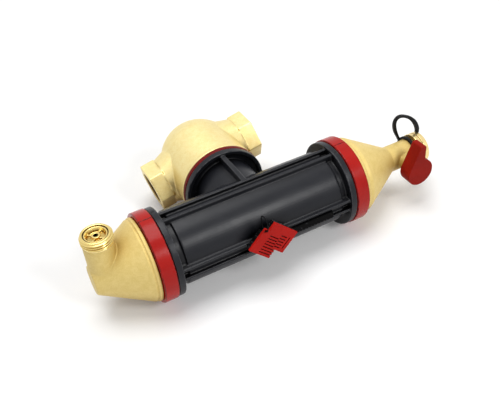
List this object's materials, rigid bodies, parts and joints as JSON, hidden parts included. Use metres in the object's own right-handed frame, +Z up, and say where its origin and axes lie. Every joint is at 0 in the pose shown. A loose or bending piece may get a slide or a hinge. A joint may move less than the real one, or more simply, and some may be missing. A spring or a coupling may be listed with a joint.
{
  "type": "magnetic system filter",
  "caption": "Heating-system air and dirt separator: black tee body, brass vent and drain ends in red rings, swivelling brass pipe head, pull-out magnet strip and lever drain valve.",
  "frame": {"origin": "middle of the part's footprint, on the surface that it lies on", "axes": "+X along the main tube toward the drain end, +Y along the branch toward the pipe head, +Z up, the way the vent nozzle points while the part lies on its rings"},
  "size_m": [0.2858, 0.1614, 0.0727],
  "materials": {
    "body_plastic": "moulded glass-filled plastic with a soft sheen",
    "inner_plastic": "moulded",
    "cast_brass": "shot-blasted casting, pale and matte",
    "turned_brass": "machined, bright",
    "ring_red": "glossy moulded red",
    "lock_red": "dark red",
    "handle_red": "moulded red, satin",
    "tag_red": "moulded red, satin",
    "cartridge_black": "moulded black",
    "loop_wire": "thin black-coated wire",
    "strap_rubber": "flexible black moulding",
    "seal_rubber": "seal rubber",
    "steel": "stainless",
    "magnet": "plated magnet blocks",
    "white_plastic": "moulded natural plastic"
  },
  "bodies": {
    "housing": {"main_body": "body_plastic", "vent_cap": "cast_brass", "vent_cap_seal": "seal_rubber", "vent_ring_front": "ring_red", "vent_ring_rear": "ring_red", "vent_ring_pins": "steel", "nozzle_insert": "turned_brass", "vent_seat": "turned_brass", "lever_pin": "steel", "float_guide": "steel", "drain_cone": "cast_brass", "drain_cone_seal": "seal_rubber", "drain_ring_front": "ring_red", "drain_ring_rear": "ring_red", "drain_ring_pins": "steel", "ball_seats": "white_plastic", "valve_tail": "turned_brass", "cap_strap": "strap_rubber", "head_lock_ring": "lock_red", "flow_tube": "inner_plastic", "separator_cage": "inner_plastic", "core_rod": "steel", "separator_discs": "steel"},
    "head": {"connection_head": "cast_brass", "head_seals": "seal_rubber"},
    "drain_lever": {"drain_ball": "steel", "drain_stem": "turned_brass", "stem_seal": "seal_rubber", "drain_handle": "handle_red", "handle_set_screw": "steel"},
    "cap_washer": {"cap_washer": "seal_rubber"},
    "drain_cap": {"drain_cap": "turned_brass"},
    "magnet_cartridge": {"magnet_carrier": "cartridge_black", "magnets": "magnet", "tag_block": "cartridge_black", "pull_tag": "tag_red"},
    "tag_loop": {"tag_ring": "loop_wire"},
    "float": {"float": "white_plastic"},
    "float_lever": {"float_lever": "white_plastic"},
    "vent_needle": {"vent_needle": "steel"}
  },
  "joints": [
    {"name": "head_swivel", "type": "hinge", "parent": "housing", "child": "head", "pos_m": [-0.01817, 0.00512, 0.03329], "axis": [0, 0.9999, -0.0161], "continuous": true},
    {"name": "drain_valve", "type": "hinge", "parent": "housing", "child": "drain_lever", "pos_m": [0.11803, -0.03887, 0.034], "axis": [0, 0.9999, -0.0161], "range_deg": [0, 90]},
    {"name": "cap_travel", "type": "slide", "parent": "housing", "child": "cap_washer", "axis": [1, 0, 0], "range_m": [0, 0.00499], "deforming": ["cap_strap"]},
    {"name": "cap_turn", "type": "hinge", "parent": "cap_washer", "child": "drain_cap", "pos_m": [0.13613, -0.03887, 0.034], "axis": [1, 0, 0], "range_deg": [0, 990]},
    {"name": "magnet_pull", "type": "slide", "parent": "housing", "child": "magnet_cartridge", "axis": [0, -0.9999, 0.0161], "range_m": [0, 0.03]},
    {"name": "loop_swing", "type": "hinge", "parent": "magnet_cartridge", "child": "tag_loop", "pos_m": [-0.0256, -0.07599, 0.05164], "axis": [0, 0.9999, -0.0161], "range_deg": [-60, 60]},
    {"name": "float_drop", "type": "slide", "parent": "housing", "child": "float", "axis": [1, 0, 0], "range_m": [0, 0.005]},
    {"name": "lever_tilt", "type": "hinge", "parent": "housing", "child": "float_lever", "pos_m": [-0.11667, -0.03901, 0.025], "axis": [0, 0.9999, -0.0161], "range_deg": [0, 7.6]},
    {"name": "needle_draw", "type": "slide", "parent": "housing", "child": "vent_needle", "axis": [1, 0, 0], "range_m": [0, 0.002]}
  ],
  "couplings": [
    {"joint": "cap_travel", "follows": "cap_turn", "m_per_rad": 0.00028871},
    {"joint": "lever_tilt", "follows": "float_drop", "rad_per_m": 26.51},
    {"joint": "needle_draw", "follows": "float_drop", "ratio": 0.4}
  ]
}
